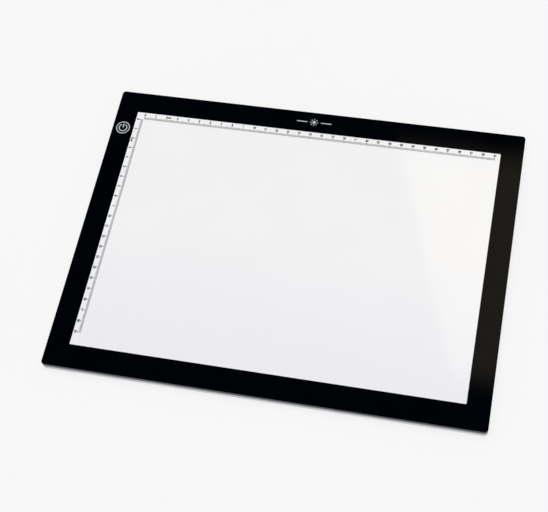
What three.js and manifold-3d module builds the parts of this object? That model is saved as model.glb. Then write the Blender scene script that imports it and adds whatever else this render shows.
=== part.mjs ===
// A4 LED tracing pad: a thin edge-lit light box for copying drawings.
//
// Millimetres, +Z up, +X along the long side, +Y towards the ruled back edge. The pad lies flat on its
// rubber feet, and the touch key is at the back of the left border.

import * as THREE from 'three';
import { mergeVertices } from 'three/addons/utils/BufferGeometryUtils.js';
import Module from 'manifold-3d';

const wasm = await Module();
wasm.setup();

// ---- Driving dimensions ---------------------------------------------------------------------------

const WIDTH = 360;
const DEPTH = 270;
const CORNER_RADIUS = 3;

const WINDOW_WIDTH = 322;
const WINDOW_DEPTH = 229;
const WINDOW_RADIUS = 0.6;

const FOOT_DROP = 0.4;      // how far the feet stand out below the body
const LAYER_GAP = 0.05;     // air between layers that lie on each other
const SLIP = 0.2;           // side clearance of a piece that drops into a recess
const HOLE_SLIP = 0.1;      // clearance all round a screw's shank in its hole
const CUT = 1;              // how far a cutter reaches past the face that it opens
const STEP = 0.1;           // small setback of one face behind its neighbour

// Width of the broken edges.
const edges = { film: 0.08, panel: 0.15, frame: 0.35, cover: 0.1 };

// Heights. Each layer lies on the one below it.
const cover = { bottom: FOOT_DROP, top: FOOT_DROP + 0.8 };
const reflector = above(cover, 0.2);
const guide = above(reflector, 2.5);
const prism = above(guide, 0.2);
const diffuser = above(prism, 0.6);
const frame = { bottom: FOOT_DROP, top: FOOT_DROP + 4.3 };
const tape = above(frame, 0.2);
const panel = above(tape, 3.5);
const mask = above(panel, 0.1);
const film = above(mask, 0.2);

// The sheets of the light stack reach under the border by this much on every side.
const SHEET_OVERLAP = 3;
const SHEET_WIDTH = WINDOW_WIDTH + 2 * SHEET_OVERLAP;
const SHEET_DEPTH = WINDOW_DEPTH + 2 * SHEET_OVERLAP;

// The frame: a deck with an outer wall, an inner wall round the light stack, and ribs between them.
const WALL = 2.2;
const INNER_WALL = 1.6;
const RIB = 1.6;
const DECK = 0.7;
const CUSHION = 0.9;
const SIDE_CUSHION_LENGTH = 210;
const FRONT_CUSHION_LENGTH = 300;
const LED_CHANNEL = 3.8;
const trayX = SHEET_WIDTH / 2 + CUSHION + 2 * LAYER_GAP;
const trayFront = -(SHEET_DEPTH / 2 + CUSHION + 2 * LAYER_GAP);
const trayBack = SHEET_DEPTH / 2 + LED_CHANNEL;
const railX = WIDTH / 2 - WALL;
const railY = DEPTH / 2 - WALL;
const deckUnderside = frame.top - DECK;
const pocketFloor = cover.top + LAYER_GAP;

// Rear cover screws: one in each corner and one in the middle of each side.
const SCREW_X = 172;
const SCREW_Y = 127;
const SCREW_BOSS = 8;
const CORNER_BLOCK = 16;
const RAIL_END_MARGIN = 3;    // the side rails' pockets stop this much short of the corner blocks
const screw = {
  headRadius: 1.8,
  shankRadius: 0.9,
  headSlip: 0.15,
  sink: 0.05,
  length: 3.3,
  tipLength: 0.4,
  crossSpan: 1.9,
  crossDepth: 0.4,
};
const CROSS_SLOT = 0.45;      // width of the cross recess in a screw head
const coverScrews = {
  cover_screw_front_left: [-SCREW_X, -SCREW_Y],
  cover_screw_front_middle: [0, -SCREW_Y],
  cover_screw_front_right: [SCREW_X, -SCREW_Y],
  cover_screw_left: [-SCREW_X, 0],
  cover_screw_right: [SCREW_X, 0],
  cover_screw_back_left: [-SCREW_X, SCREW_Y],
  cover_screw_back_middle: [0, SCREW_Y],
  cover_screw_back_right: [SCREW_X, SCREW_Y],
};

// A shallow blank recess for a label in the rear cover.
const labelRecess = { y: 55, width: 72, depth: 34, radius: 2, sink: 0.15 };

// Rubber feet, half sunk in round recesses of the rear cover.
const FOOT_X = 150;
const FOOT_Y = 110;
const FOOT_RADIUS = 5;
const FOOT_RECESS = 0.3;
const FOOT_SLIP = 0.15;
// The rounded rim of a foot: how far in from its side, and how high.
const footRim = [[0.7, 0], [0.2, 0.18], [0, 0.5]];
const feet = {
  foot_front_left: [-FOOT_X, -FOOT_Y],
  foot_front_middle: [0, -FOOT_Y],
  foot_front_right: [FOOT_X, -FOOT_Y],
  foot_back_left: [-FOOT_X, FOOT_Y],
  foot_back_middle: [0, FOOT_Y],
  foot_back_right: [FOOT_X, FOOT_Y],
};

// The control board lies in a pocket of the left rail, under the touch key and behind the power socket.
const board = {
  left: -177.3,
  right: -167.1,
  front: 59,
  back: 113,
  bottom: 1.7,
  top: 2.5,
  notchSlip: 0.25,
};
const boardPocket = { front: 56, back: trayBack };
const partsFloor = board.top + LAYER_GAP;
const touchKey = {
  x: -(WIDTH + WINDOW_WIDTH) / 4,
  y: 96.5,
  springRadius: 2.6,
  wireRadius: 0.2,
  turns: 4,
  holeRadius: 3.6,
};
const boardScrew = {
  headRadius: 1.6,
  headHeight: 0.35,
  headEdge: 0.15,
  shankRadius: 0.8,
  bossRadius: 1.9,
  crossSpan: 1.6,
  crossDepth: 0.3,
};
const boardScrews = {
  board_screw_front: [-169.5, 62],
  board_screw_back: [-169.5, 103.5],
};
const socket = {
  y: 68,
  z: 2.6,
  width: 7.5,
  height: 2.3,
  length: 5,
  wall: 0.25,
  corner: 0.9,
  face: -WIDTH / 2 + 0.1,
};
// The soldered ears on the socket's sides, and the tongue on its block inside the shell.
const ear = { behindFace: 4, length: 1.2, reach: 1.3, overlap: 0.1, height: 0.25 };
const tongueBlock = { length: 1.3, width: 5, lift: 0.05, height: 1.2 };
const tongue = { length: 4.2, overlap: 0.3, width: 3.7, lift: 0.3, height: 0.5 };
const connector = { x: -172, y: 109.5, width: 4.6, length: 4, height: 1.3, pitch: 2 };
const touchChip = { place: [-172.5, 89.5], size: [3.9, 4.9], legsPerSide: 4 };
const driverChip = { place: [-172.6, 76.5], size: [1.6, 2.9], legsPerSide: 3 };
const chipForm = { standOff: 0.1, top: 1, legReach: 0.8, legShare: 0.4, legHeight: 0.3 };
const inductor = {
  place: [-172.5, 82.5],
  base: 4.2,
  corner: 0.5,
  baseHeight: 0.4,
  coreRadius: 1.9,
  height: 1.3,
};
const capacitor = {
  place: [-169.3, 75],
  width: 1.4,
  length: 2.4,
  capWidth: 1.6,
  capLength: 0.6,
  height: 1.2,
};

// The LED strip stands on edge behind the light guide and shines forwards into it.
const led = { count: 45, width: 3, depth: 1.1, height: 1.4 };
const strip = { thickness: 0.8, bottom: 1.35, top: 4.0, endX: 163 };
const heatSink = { thickness: 1, wireRoom: 7 };
const ledFront = SHEET_DEPTH / 2 + 0.25;
const stripFront = ledFront + led.depth;
const stripBack = stripFront + strip.thickness;
const WIRE_RADIUS = 0.45;
const wireHeights = { black: 2.0, red: 3.4 };
const wireMouth = { slip: 0.1, depth: 1, inside: 0.8, outside: 1.2 };

// ---- Helpers --------------------------------------------------------------------------------------

function above(layer, thickness) {
  const bottom = layer.top + LAYER_GAP;
  return { bottom, top: bottom + thickness };
}

function toSolid(geometry) {
  geometry.deleteAttribute('normal');
  geometry.deleteAttribute('uv');
  const merged = mergeVertices(geometry, 1e-4);
  return new wasm.Manifold(new wasm.Mesh({
    numProp: 3,
    vertProperties: new Float32Array(merged.attributes.position.array),
    triVerts: new Uint32Array(merged.index.array),
  }));
}

function toGeometry(solid) {
  const mesh = solid.getMesh();
  const geometry = new THREE.BufferGeometry();
  geometry.setAttribute('position', new THREE.BufferAttribute(mesh.vertProperties, 3));
  geometry.setIndex(new THREE.BufferAttribute(mesh.triVerts, 1));
  geometry.computeVertexNormals();
  return geometry;
}

function joined(first, ...others) {
  return others.reduce((solid, other) => solid.add(other), first);
}

function cut(solid, cutters) {
  return cutters.reduce((rest, cutter) => rest.subtract(cutter), solid);
}

function box([x0, x1], [y0, y1], [z0, z1]) {
  const geometry = new THREE.BoxGeometry(x1 - x0, y1 - y0, z1 - z0);
  return geometry.translate((x0 + x1) / 2, (y0 + y1) / 2, (z0 + z1) / 2);
}

// A range of the given length centred on a value.
function around(centre, length) {
  return [centre - length / 2, centre + length / 2];
}

function roundedRectangle(width, depth, radius, path = new THREE.Shape()) {
  const x = width / 2;
  const y = depth / 2;
  path.moveTo(x, y - radius);
  path.absarc(x - radius, y - radius, radius, 0, Math.PI / 2);
  path.absarc(-x + radius, y - radius, radius, Math.PI / 2, Math.PI);
  path.absarc(-x + radius, -y + radius, radius, Math.PI, 1.5 * Math.PI);
  path.absarc(x - radius, -y + radius, radius, 1.5 * Math.PI, 2 * Math.PI);
  path.closePath();
  return path;
}

// A flat plate of the outline between two heights, with its top and bottom edges broken.
function plate(outline, { bottom, top }, edge = 0) {
  const geometry = new THREE.ExtrudeGeometry(outline, {
    depth: top - bottom - 2 * edge,
    curveSegments: 8,
    bevelEnabled: edge > 0,
    bevelThickness: edge,
    bevelSize: edge,
    bevelOffset: -edge,
    bevelSegments: 2,
  });
  return geometry.translate(0, 0, bottom + edge);
}

function cylinder(radius, [x, y], [z0, z1], segments = 24) {
  const geometry = new THREE.CylinderGeometry(radius, radius, z1 - z0, segments);
  return geometry.rotateX(Math.PI / 2).translate(x, y, (z0 + z1) / 2);
}

// A turned piece that stands along Z: each profile point is [radius, height].
function turned(profile, [x, y], segments = 24) {
  const points = profile.map(([radius, height]) => new THREE.Vector2(radius, height));
  return new THREE.LatheGeometry(points, segments).rotateX(Math.PI / 2).translate(x, y, 0);
}

function tube(curve, radius, steps, sides = 8) {
  const section = new THREE.Shape();
  section.absarc(0, 0, radius, 0, 2 * Math.PI);
  return new THREE.ExtrudeGeometry(section, { extrudePath: curve, steps, curveSegments: sides });
}

// Equal pockets in a row, with a rib between neighbours.
function pocketSpans(start, end, count) {
  const length = (end - start - RIB * (count - 1)) / count;
  return Array.from({ length: count }, (_, index) => {
    const from = start + index * (length + RIB);
    return [from, from + length];
  });
}

function material(color, roughness, metalness = 0) {
  return new THREE.MeshStandardMaterial({ color, roughness, metalness });
}

// A section drawn in the row's Y and Z, swept along X from a start.
function sweptAlongX(section, start, length) {
  const geometry = new THREE.ExtrudeGeometry(section, { depth: length, bevelEnabled: false });
  geometry.applyMatrix4(new THREE.Matrix4().makeBasis(
    new THREE.Vector3(0, 1, 0),
    new THREE.Vector3(0, 0, 1),
    new THREE.Vector3(1, 0, 0),
  ));
  return geometry.translate(start, 0, 0);
}

// ---- Outer pieces ---------------------------------------------------------------------------------

function frontPanel() {
  return plate(roundedRectangle(WIDTH, DEPTH, CORNER_RADIUS), panel, edges.panel);
}

// The glossy skin of the pad. The border is printed on its underside.
function coverFilm() {
  return plate(roundedRectangle(WIDTH, DEPTH, CORNER_RADIUS), film, edges.film);
}

function bezelMask() {
  const outline = roundedRectangle(WIDTH - 2 * STEP, DEPTH - 2 * STEP, CORNER_RADIUS - STEP);
  outline.holes.push(roundedRectangle(WINDOW_WIDTH, WINDOW_DEPTH, WINDOW_RADIUS, new THREE.Path()));
  return plate(outline, mask);
}

function railPockets() {
  const height = [pocketFloor, deckUnderside];
  const longEnd = WIDTH / 2 - CORNER_BLOCK;
  const sideEnd = DEPTH / 2 - CORNER_BLOCK - RAIL_END_MARGIN;
  const boss = SCREW_BOSS / 2;
  const longSpans = [...pocketSpans(-longEnd, -boss, 4), ...pocketSpans(boss, longEnd, 4)];
  const rightSpans = [...pocketSpans(-sideEnd, -boss, 3), ...pocketSpans(boss, sideEnd, 3)];
  const leftSpans = [...pocketSpans(-sideEnd, -boss, 3), [boss, boardPocket.front - RIB]];
  const frontDepth = [-railY, trayFront - INNER_WALL];
  const backDepth = [trayBack + INNER_WALL, railY];
  return [
    ...longSpans.flatMap((span) => [box(span, frontDepth, height), box(span, backDepth, height)]),
    ...rightSpans.map((span) => box([trayX + INNER_WALL, railX], span, height)),
    ...leftSpans.map((span) => box([-railX, -trayX - INNER_WALL], span, height)),
  ];
}

function sideFrame() {
  const outer = plate(roundedRectangle(WIDTH, DEPTH, CORNER_RADIUS), frame, edges.frame);
  const coverRecess = plate(
    roundedRectangle(2 * railX, 2 * railY, CORNER_RADIUS / 2),
    { bottom: frame.bottom - CUT, top: pocketFloor },
  );
  const tray = box([-trayX, trayX], [trayFront, trayBack], [frame.bottom - CUT, frame.top + CUT]);
  const boardSpace = box(
    [-railX, -trayX - INNER_WALL],
    [boardPocket.front, boardPocket.back],
    [pocketFloor, deckUnderside],
  );
  const wireGap = box(
    [-trayX - INNER_WALL - CUT, -trayX + CUT],
    [SHEET_DEPTH / 2, trayBack],
    [pocketFloor, deckUnderside],
  );
  const shell = cut(
    toSolid(outer),
    [coverRecess, tray, boardSpace, wireGap, ...railPockets()].map(toSolid),
  );
  const bosses = Object.values(boardScrews).map((place) =>
    cylinder(boardScrew.bossRadius, place, [partsFloor, deckUnderside + DECK / 2]));
  const holes = [
    ...Object.values(coverScrews).map((place) =>
      cylinder(screw.shankRadius + HOLE_SLIP, place, [pocketFloor - CUT, deckUnderside])),
    ...Object.values(boardScrews).map((place) =>
      cylinder(boardScrew.shankRadius + HOLE_SLIP, place, [partsFloor - CUT, deckUnderside])),
    cylinder(touchKey.holeRadius, [touchKey.x, touchKey.y], [deckUnderside - CUT, frame.top + CUT], 32),
    socketOpening(),
  ];
  return toGeometry(cut(joined(shell, ...bosses.map(toSolid)), holes.map(toSolid)));
}

function rearCover() {
  const outline = roundedRectangle(2 * (railX - SLIP), 2 * (railY - SLIP), CORNER_RADIUS / 2);
  const footRecesses = Object.values(feet).map((place) =>
    cylinder(FOOT_RADIUS + FOOT_SLIP, place, [cover.bottom - CUT, cover.bottom + FOOT_RECESS], 32));
  const mouth = screw.headRadius + screw.headSlip;
  const neck = screw.shankRadius + screw.headSlip + HOLE_SLIP;
  const screwHoles = Object.values(coverScrews).map((place) => turned([
    [0, cover.bottom - CUT],
    [mouth, cover.bottom - CUT],
    [mouth, cover.bottom],
    [neck, cover.top - STEP],
    [neck, cover.top + CUT],
    [0, cover.top + CUT],
  ], place));
  const labelSpace = plate(
    roundedRectangle(labelRecess.width, labelRecess.depth, labelRecess.radius),
    { bottom: cover.bottom - CUT, top: cover.bottom + labelRecess.sink },
  ).translate(0, labelRecess.y, 0);
  const cutters = [...footRecesses, ...screwHoles, labelSpace];
  return toGeometry(cut(toSolid(plate(outline, cover, edges.cover)), cutters.map(toSolid)));
}

function foot(place) {
  const top = cover.bottom + FOOT_RECESS - LAYER_GAP;
  return turned([
    [0, 0],
    ...footRim.map(([inset, height]) => [FOOT_RADIUS - inset, height]),
    [FOOT_RADIUS, top],
    [0, top],
  ], place, 32);
}

// A cross recess in the underside of a screw head.
function crossRecess([x, y], headBottom, { crossSpan, crossDepth }) {
  const height = [headBottom - CUT, headBottom + crossDepth];
  return [
    box(around(x, crossSpan), around(y, CROSS_SLOT), height),
    box(around(x, CROSS_SLOT), around(y, crossSpan), height),
  ].map(toSolid);
}

function coverScrew(place) {
  const bottom = cover.bottom + screw.sink;
  const neck = cover.top - STEP;
  const tip = bottom + screw.length;
  const body = turned([
    [0, bottom],
    [screw.headRadius, bottom],
    [screw.shankRadius, neck],
    [screw.shankRadius, tip - screw.tipLength],
    [screw.shankRadius / 2, tip],
    [0, tip],
  ], place);
  return toGeometry(cut(toSolid(body), crossRecess(place, bottom, screw)));
}

// ---- Light stack ----------------------------------------------------------------------------------

function sheet(layer) {
  return plate(roundedRectangle(SHEET_WIDTH, SHEET_DEPTH, 1), layer);
}

function ledStrip() {
  const circuit = toSolid(box([-strip.endX, strip.endX], [stripFront, stripBack], [strip.bottom, strip.top]));
  const height = around((guide.bottom + guide.top) / 2, led.height);
  const pitch = (WINDOW_WIDTH - led.width) / (led.count - 1);
  const lamps = Array.from({ length: led.count }, (_, index) => {
    const x = -(WINDOW_WIDTH - led.width) / 2 + index * pitch;
    return toSolid(box(around(x, led.width), [ledFront, stripFront + STEP], height));
  });
  return toGeometry(joined(circuit, ...lamps));
}

// An L of sheet aluminium: its leg backs the LED strip and its flange covers the gap in front of it.
function heatStrip() {
  const legFront = stripBack + LAYER_GAP;
  const legBack = legFront + heatSink.thickness;
  const flangeFront = ledFront - STEP;
  const flangeBottom = strip.top + LAYER_GAP;
  const top = frame.top - STEP;
  const section = new THREE.Shape([
    new THREE.Vector2(legBack, strip.bottom),
    new THREE.Vector2(legBack, top),
    new THREE.Vector2(flangeFront, top),
    new THREE.Vector2(flangeFront, flangeBottom),
    new THREE.Vector2(legFront, flangeBottom),
    new THREE.Vector2(legFront, strip.bottom),
  ]);
  const left = -strip.endX + heatSink.wireRoom;
  return sweptAlongX(section, left, strip.endX - left);
}

function sideCushion(side) {
  const x = side * (SHEET_WIDTH / 2 + LAYER_GAP + CUSHION / 2);
  return box(around(x, CUSHION), around(0, SIDE_CUSHION_LENGTH), [guide.bottom, guide.top]);
}

function frontCushion() {
  const y = -(SHEET_DEPTH / 2 + LAYER_GAP + CUSHION / 2);
  return box(around(0, FRONT_CUSHION_LENGTH), around(y, CUSHION), [guide.bottom, guide.top]);
}

// ---- Tape between the frame and the panel ---------------------------------------------------------

const TAPE_WIDTH = 4;
const TAPE_INSET = 1.5;

function longTape(side) {
  const y = side * (DEPTH / 2 - TAPE_INSET - TAPE_WIDTH / 2);
  const reach = WIDTH / 2 - TAPE_INSET;
  return box([-reach, reach], around(y, TAPE_WIDTH), [tape.bottom, tape.top]);
}

function shortTape(side) {
  const x = side * (WIDTH / 2 - TAPE_INSET - TAPE_WIDTH / 2);
  const reach = DEPTH / 2 - TAPE_INSET - TAPE_WIDTH - STEP;
  return box(around(x, TAPE_WIDTH), [-reach, reach], [tape.bottom, tape.top]);
}

// ---- Electronics in the left rail -----------------------------------------------------------------

function controlBoard() {
  const base = box([board.left, board.right], [board.front, board.back], [board.bottom, board.top]);
  const through = [board.bottom - CUT, board.top + CUT];
  const notchEnd = socket.face + socket.length + board.notchSlip;
  const cutters = [
    box([board.left - CUT, notchEnd], around(socket.y, socket.width + 2 * board.notchSlip), through),
    ...Object.values(boardScrews).map((place) =>
      cylinder(boardScrew.shankRadius + 2 * HOLE_SLIP, place, through)),
  ];
  return toGeometry(cut(toSolid(base), cutters.map(toSolid)));
}

// The spring that carries the finger's touch from the back of the border to the board.
class Coil extends THREE.Curve {
  getPoint(t, target = new THREE.Vector3()) {
    const angle = 2 * Math.PI * touchKey.turns * t;
    const low = partsFloor + touchKey.wireRadius;
    const high = panel.bottom - LAYER_GAP - touchKey.wireRadius;
    return target.set(
      touchKey.x + touchKey.springRadius * Math.cos(angle),
      touchKey.y + touchKey.springRadius * Math.sin(angle),
      low + (high - low) * t,
    );
  }
}

function touchSpring() {
  return tube(new Coil(), touchKey.wireRadius, 96, 4);
}

// A flat chip with a row of legs along two sides.
function chip({ place: [x, y], size: [width, length], legsPerSide }) {
  const { standOff, top, legReach, legShare, legHeight } = chipForm;
  const body = box(around(x, width), around(y, length), [partsFloor + standOff, partsFloor + top]);
  const pitch = length / legsPerSide;
  const legs = Array.from({ length: legsPerSide }, (_, index) => {
    const legY = y - length / 2 + (index + 0.5) * pitch;
    const across = around(x, width + 2 * legReach);
    return toSolid(box(across, around(legY, pitch * legShare), [partsFloor, partsFloor + legHeight]));
  });
  return toGeometry(joined(toSolid(body), ...legs));
}

function powerInductor() {
  const baseLayer = { bottom: partsFloor, top: partsFloor + inductor.baseHeight };
  const base = plate(roundedRectangle(inductor.base, inductor.base, inductor.corner), baseLayer);
  const core = cylinder(inductor.coreRadius, [0, 0], [baseLayer.top - STEP, partsFloor + inductor.height]);
  return toGeometry(joined(toSolid(base), toSolid(core)).translate([...inductor.place, 0]));
}

function filterCapacitor() {
  const { place: [x, y], width, length, capWidth, capLength, height } = capacitor;
  const top = partsFloor + height;
  const body = toSolid(box(around(x, width), around(y, length), [partsFloor + LAYER_GAP, top - STEP]));
  const ends = [-1, 1].map((side) => {
    const capY = y + side * (length + capLength / 3) / 2;
    return toSolid(box(around(x, capWidth), around(capY, capLength), [partsFloor, top]));
  });
  return toGeometry(joined(body, ...ends));
}

// The socket's outline seen from outside: flat on top, with its lower corners cut off.
function socketOutline(margin) {
  const half = socket.width / 2 + margin;
  const top = socket.height / 2 + margin;
  return new THREE.Shape([
    new THREE.Vector2(-half, top),
    new THREE.Vector2(-half, -top + socket.corner),
    new THREE.Vector2(-half + socket.corner, -top),
    new THREE.Vector2(half - socket.corner, -top),
    new THREE.Vector2(half, -top + socket.corner),
    new THREE.Vector2(half, top),
  ]);
}

// The outline swept inwards from one distance behind the outer face to another.
function socketBlock(margin, from, to) {
  const block = sweptAlongX(socketOutline(margin), socket.face + from, to - from);
  return block.translate(0, socket.y, socket.z);
}

function socketOpening() {
  return socketBlock(SLIP, -CUT, socket.length + CUT);
}

function socketShell() {
  const outer = toSolid(socketBlock(0, 0, socket.length));
  const inside = toSolid(socketBlock(-socket.wall, -CUT, socket.length - socket.wall));
  const earMiddle = (socket.width + ear.reach) / 2 - ear.overlap;
  const ears = [-1, 1].map((side) => toSolid(box(
    around(socket.face + ear.behindFace, ear.length),
    around(socket.y + side * earMiddle, ear.reach),
    [partsFloor, partsFloor + ear.height],
  )));
  return toGeometry(joined(outer.subtract(inside), ...ears.map((ear) => ear.subtract(inside))));
}

function socketTongue() {
  const back = socket.face + socket.length - socket.wall - LAYER_GAP;
  const block = box(
    [back - tongueBlock.length, back],
    around(socket.y, tongueBlock.width),
    around(socket.z + tongueBlock.lift, tongueBlock.height),
  );
  const blade = box(
    [back - tongue.length, back - tongueBlock.length + tongue.overlap],
    around(socket.y, tongue.width),
    around(socket.z + tongue.lift, tongue.height),
  );
  return toGeometry(joined(toSolid(block), toSolid(blade)));
}

function wireConnector() {
  const { x, y, width, length, height, pitch } = connector;
  const body = box(around(x, width), around(y, length), [partsFloor, partsFloor + height]);
  const mouths = [-1, 1].map((side) => {
    const radius = WIRE_RADIUS + wireMouth.slip;
    const bore = new THREE.CylinderGeometry(radius, radius, wireMouth.depth + CUT, 16);
    const boreMiddle = y + (length + CUT - wireMouth.depth) / 2;
    return bore.translate(x + side * pitch / 2, boreMiddle, partsFloor + height / 2);
  });
  return toGeometry(cut(toSolid(body), mouths.map(toSolid)));
}

// From its mouth in the connector back along the pocket, round the corner and onto the LED strip.
function leadWire(side, stripHeight) {
  const mouthX = connector.x + side * connector.pitch / 2;
  const mouthY = connector.y + connector.length / 2;
  const mouthZ = partsFloor + connector.height / 2;
  const padY = stripBack + LAYER_GAP + WIRE_RADIUS;
  return tube(new THREE.CatmullRomCurve3([
    new THREE.Vector3(mouthX, mouthY - wireMouth.inside, mouthZ),
    new THREE.Vector3(mouthX, mouthY + wireMouth.outside, mouthZ),
    new THREE.Vector3(mouthX + 0.6, mouthY + 4, stripHeight),
    new THREE.Vector3(mouthX + 3.4, padY - 1, stripHeight),
    new THREE.Vector3(-trayX - 0.4, padY, stripHeight),
    new THREE.Vector3(-strip.endX + 1, padY, stripHeight),
    new THREE.Vector3(-strip.endX + 3, padY, stripHeight),
  ], false, 'centripetal'), WIRE_RADIUS, 40, 5);
}

function boardScrewPiece(place) {
  const top = board.bottom - LAYER_GAP;
  const bottom = top - boardScrew.headHeight;
  const tip = deckUnderside - SLIP;
  const body = turned([
    [0, bottom],
    [boardScrew.headRadius - boardScrew.headEdge, bottom],
    [boardScrew.headRadius, bottom + boardScrew.headEdge],
    [boardScrew.headRadius, top],
    [boardScrew.shankRadius, top],
    [boardScrew.shankRadius, tip],
    [0, tip],
  ], place, 16);
  return toGeometry(cut(toSolid(body), crossRecess(place, bottom, boardScrew)));
}

// ---- Materials ------------------------------------------------------------------------------------

const clearFilm = new THREE.MeshStandardMaterial({
  color: 0xfafbfc, roughness: 0.05, metalness: 0, transparent: true, opacity: 0.1,
});
const clearAcrylic = new THREE.MeshStandardMaterial({
  color: 0xf4f8fa, roughness: 0.05, metalness: 0, transparent: true, opacity: 0.15,
});
const blackInk = material(0x030408, 0.3);
const silverPlastic = material(0xd2d4d8, 0.4);
const palePlastic = material(0xdfe0e2, 0.6);
const feetRubber = material(0x4a4c50, 0.9);
const screwSteel = material(0xb8babd, 0.3, 1);
const opalSheet = material(0xf0f0f3, 0.5);
const prismFilm = material(0xe6ebee, 0.2);
const guideAcrylic = material(0xe4f0f2, 0.08);
const whiteFilm = material(0xfafafa, 0.45);
const whiteCircuit = material(0xf2efe4, 0.5);
const aluminium = material(0xc4c7ca, 0.35, 1);
const foam = material(0x2b2b2d, 0.95);
const blackTape = material(0x101012, 0.8);
const greenCircuit = material(0x1f6b3c, 0.5);
const springSteel = material(0xc9b27a, 0.35, 1);
const chipPlastic = material(0x18181a, 0.6);
const ferrite = material(0x3c3d40, 0.7);
const ceramic = material(0xa98a63, 0.5);
const tinPlate = material(0xc8cacd, 0.25, 1);
const whiteNylon = material(0xeceae0, 0.5);
const redWire = material(0xb3201c, 0.45);
const blackWire = material(0x151516, 0.45);

// ---- Assembly -------------------------------------------------------------------------------------

const pad = new THREE.Group();
pad.name = 'light_box';

function addPart(name, geometry, surface) {
  const mesh = new THREE.Mesh(geometry, surface);
  mesh.name = name;
  pad.add(mesh);
}

addPart('cover_film', coverFilm(), clearFilm);
addPart('bezel_mask', bezelMask(), blackInk);
addPart('front_panel', frontPanel(), clearAcrylic);
addPart('side_frame', sideFrame(), silverPlastic);
addPart('rear_cover', rearCover(), palePlastic);
for (const [name, place] of Object.entries(feet)) {
  addPart(name, foot(place), feetRubber);
}
for (const [name, place] of Object.entries(coverScrews)) {
  addPart(name, coverScrew(place), screwSteel);
}

addPart('diffuser_sheet', sheet(diffuser), opalSheet);
addPart('prism_film', sheet(prism), prismFilm);
addPart('light_guide', sheet(guide), guideAcrylic);
addPart('reflector_sheet', sheet(reflector), whiteFilm);
addPart('led_strip', ledStrip(), whiteCircuit);
addPart('heat_strip', heatStrip(), aluminium);
addPart('cushion_left', sideCushion(-1), foam);
addPart('cushion_right', sideCushion(1), foam);
addPart('cushion_front', frontCushion(), foam);

addPart('tape_front', longTape(-1), blackTape);
addPart('tape_back', longTape(1), blackTape);
addPart('tape_left', shortTape(-1), blackTape);
addPart('tape_right', shortTape(1), blackTape);

addPart('control_board', controlBoard(), greenCircuit);
addPart('touch_spring', touchSpring(), springSteel);
addPart('touch_chip', chip(touchChip), chipPlastic);
addPart('driver_chip', chip(driverChip), chipPlastic);
addPart('power_inductor', powerInductor(), ferrite);
addPart('filter_capacitor', filterCapacitor(), ceramic);
addPart('socket_shell', socketShell(), tinPlate);
addPart('socket_tongue', socketTongue(), chipPlastic);
addPart('wire_connector', wireConnector(), whiteNylon);
addPart('lead_wire_black', leadWire(-1, wireHeights.black), blackWire);
addPart('lead_wire_red', leadWire(1, wireHeights.red), redWire);
for (const [name, place] of Object.entries(boardScrews)) {
  addPart(name, boardScrewPiece(place), screwSteel);
}

export default pad;
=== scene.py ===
import math

import bmesh
import bpy
from mathutils import Matrix, Quaternion, Vector


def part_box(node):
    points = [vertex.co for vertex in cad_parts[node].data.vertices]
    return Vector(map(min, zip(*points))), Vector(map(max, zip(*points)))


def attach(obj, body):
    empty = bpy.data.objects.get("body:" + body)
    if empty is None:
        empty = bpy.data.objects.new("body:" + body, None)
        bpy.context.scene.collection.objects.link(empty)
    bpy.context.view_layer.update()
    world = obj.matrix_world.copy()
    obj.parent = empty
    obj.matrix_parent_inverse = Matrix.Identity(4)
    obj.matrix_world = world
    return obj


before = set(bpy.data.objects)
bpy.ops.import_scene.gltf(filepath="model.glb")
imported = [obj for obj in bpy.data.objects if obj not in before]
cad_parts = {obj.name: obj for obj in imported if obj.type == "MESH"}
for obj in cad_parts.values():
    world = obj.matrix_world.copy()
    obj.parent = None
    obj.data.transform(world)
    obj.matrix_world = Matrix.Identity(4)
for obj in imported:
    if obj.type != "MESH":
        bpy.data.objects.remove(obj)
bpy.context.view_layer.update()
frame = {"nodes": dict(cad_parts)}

MM = 0.001

# ---- Places ----------------------------------------------------------------------------------------

film_low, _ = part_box("cover_film")
_, mask_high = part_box("bezel_mask")
panel_low, panel_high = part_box("front_panel")
guide_low, guide_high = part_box("light_guide")
board_low, board_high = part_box("control_board")
tongue_low, tongue_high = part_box("socket_tongue")
spring_low, spring_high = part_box("touch_spring")
# Half of the clear window in the border print, along X and Y.
window_reach = Vector((161 * MM, 114.5 * MM))

# All printing is a thin layer of ink between the border print and the cover film.
INK_TOP = film_low.z - 0.01 * MM
INK_BOTTOM = mask_high.z + 0.02 * MM

# ---- Mesh helpers ----------------------------------------------------------------------------------


def add_prism(mesh, outline, bottom, top):
    """Adds a closed prism: a flat outline of (x, y) points, counter-clockwise, between two heights."""
    lower = [mesh.verts.new((x, y, bottom)) for x, y in outline]
    upper = [mesh.verts.new((x, y, top)) for x, y in outline]
    mesh.faces.new(reversed(lower))
    mesh.faces.new(upper)
    count = len(outline)
    for index in range(count):
        after = (index + 1) % count
        mesh.faces.new((lower[index], lower[after], upper[after], upper[index]))


def add_ring(mesh, centre, radius, width, bottom, top, steps=96):
    """Adds a closed flat ring round a centre point."""
    loops = []
    for ring_radius, height in (
        (radius - width / 2, bottom),
        (radius + width / 2, bottom),
        (radius + width / 2, top),
        (radius - width / 2, top),
    ):
        angles = [2 * math.pi * step / steps for step in range(steps)]
        loops.append([
            mesh.verts.new((
                centre[0] + ring_radius * math.cos(angle),
                centre[1] + ring_radius * math.sin(angle),
                height,
            ))
            for angle in angles
        ])
    for side in range(4):
        here, there = loops[side], loops[(side + 1) % 4]
        for step in range(steps):
            after = (step + 1) % steps
            mesh.faces.new((here[step], here[after], there[after], there[step]))


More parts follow.
